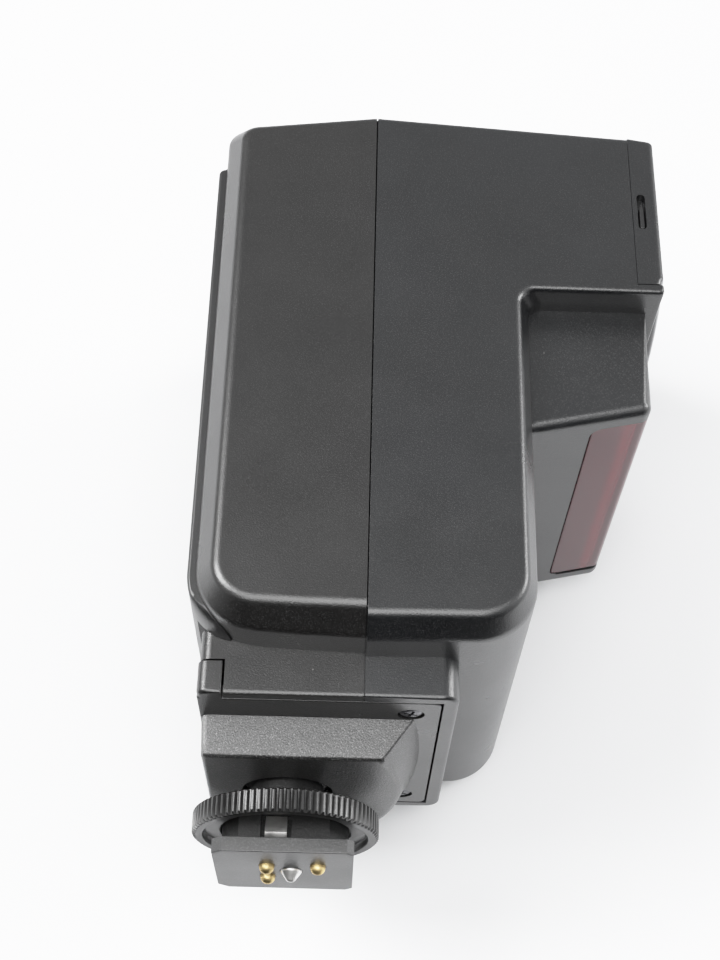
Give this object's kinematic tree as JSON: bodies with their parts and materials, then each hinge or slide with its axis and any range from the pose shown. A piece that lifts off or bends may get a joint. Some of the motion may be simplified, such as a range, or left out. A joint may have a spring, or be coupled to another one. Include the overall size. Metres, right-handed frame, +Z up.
{
  "type": "speedlight flash",
  "caption": "Shoe-mount electronic flash with a forward head, a red focus lamp window under it, rear controls, battery door and knurled lock wheel.",
  "frame": {"origin": "middle of the bounding box, on the side panel that the flash lies on", "axes": "+Z up from the side panel it lies on, +Y from the shoe foot to the head, +X towards the front of the flash"},
  "size_m": [0.0668, 0.1068, 0.064],
  "materials": {
    "case_black": "fine textured black",
    "panel_black": "smooth satin black",
    "wheel_black": "satin black, knurled",
    "inner_plastic": "matte",
    "knob_grey": "satin",
    "scale_white": "printed satin",
    "clear_plastic": "clear",
    "red_window": "dark red, see-through",
    "tube_glass": "clear",
    "bright_reflector": "polished",
    "lamp_orange": "glossy",
    "lamp_green": "glossy",
    "lamp_red": "glossy",
    "board_green": "solder mask",
    "board_brown": "phenolic board",
    "chip_black": "moulded",
    "copper_coil": "varnished wire",
    "capacitor_sleeve": "shrink sleeve",
    "white_caps": "silicone",
    "cell_jacket": "printed steel jacket",
    "steel": "bright",
    "screw_black": "blackened",
    "contact_silver": "nickel plated",
    "contact_gold": "gold plated"
  },
  "bodies": {
    "flash_body": {"rear_shell": "case_black", "front_shell": "case_black", "head_bezel": "case_black", "flash_lens": "clear_plastic", "reflector": "bright_reflector", "flash_tube": "tube_glass", "tube_caps": "white_caps", "trigger_coil": "copper_coil", "focus_window": "red_window", "focus_lens": "clear_plastic", "focus_lamp": "lamp_red", "rear_panel": "panel_black", "scale_plate": "scale_white", "scale_window": "clear_plastic", "ready_lamp": "lamp_orange", "level_lamp": "lamp_green", "control_board": "board_green", "control_chips": "chip_black", "door_pin": "steel", "battery_box": "inner_plastic", "cells": "cell_jacket", "cell_springs": "steel", "cell_plates": "steel", "main_capacitor": "capacitor_sleeve", "capacitor_cap": "steel", "power_board": "board_brown", "transformer": "copper_coil", "transistors": "chip_black", "base_cover": "case_black", "base_screws": "screw_black", "foot_nut": "steel", "foot_block": "case_black", "shoe_foot": "wheel_black", "ground_spring": "contact_silver", "board_screws": "steel"},
    "door": {"battery_door": "panel_black"},
    "latch": {"door_latch": "inner_plastic"},
    "wheel": {"lock_wheel": "wheel_black"},
    "power_knob": {"power_switch": "knob_grey"},
    "mode_knob": {"mode_switch": "knob_grey"},
    "button": {"test_button": "inner_plastic"},
    "pin_center": {"center_pin": "contact_silver"},
    "pin_rear_right": {"rear_pin_right": "contact_gold"},
    "pin_rear_left": {"rear_pin_left": "contact_gold"},
    "pin_front": {"front_pin": "contact_gold"}
  },
  "joints": [
    {"name": "door_hinge", "type": "hinge", "parent": "flash_body", "child": "door", "pos_m": [-0.0315, -0.0171, 0.032], "axis": [0, 0, 1], "range_deg": [0, 105]},
    {"name": "latch_slide", "type": "slide", "parent": "door", "child": "latch", "axis": [0, -1, 0], "range_m": [0, 0.0016], "stiffness_N_per_m": 200, "springref_m": -0.0005},
    {"name": "wheel_turn", "type": "hinge", "parent": "flash_body", "child": "wheel", "pos_m": [-0.019, -0.046, 0.032], "axis": [0, 1, 0], "range_deg": [0, 720]},
    {"name": "power_slide", "type": "slide", "parent": "flash_body", "child": "power_knob", "axis": [0, 0, 1], "range_m": [0, 0.005]},
    {"name": "mode_slide", "type": "slide", "parent": "flash_body", "child": "mode_knob", "axis": [0, 0, 1], "range_m": [0, 0.005]},
    {"name": "test_press", "type": "slide", "parent": "flash_body", "child": "button", "axis": [1, 0, 0], "range_m": [0, 0.0006], "stiffness_N_per_m": 600, "springref_m": -0.0005},
    {"name": "center_pin_press", "type": "slide", "parent": "flash_body", "child": "pin_center", "axis": [0, 1, 0], "range_m": [0, 0.0012], "stiffness_N_per_m": 400, "springref_m": -0.001},
    {"name": "rear_right_pin_press", "type": "slide", "parent": "flash_body", "child": "pin_rear_right", "axis": [0, 1, 0], "range_m": [0, 0.0009], "stiffness_N_per_m": 400, "springref_m": -0.001},
    {"name": "rear_left_pin_press", "type": "slide", "parent": "flash_body", "child": "pin_rear_left", "axis": [0, 1, 0], "range_m": [0, 0.0009], "stiffness_N_per_m": 400, "springref_m": -0.001},
    {"name": "front_pin_press", "type": "slide", "parent": "flash_body", "child": "pin_front", "axis": [0, 1, 0], "range_m": [0, 0.0009], "stiffness_N_per_m": 400, "springref_m": -0.001}
  ]
}
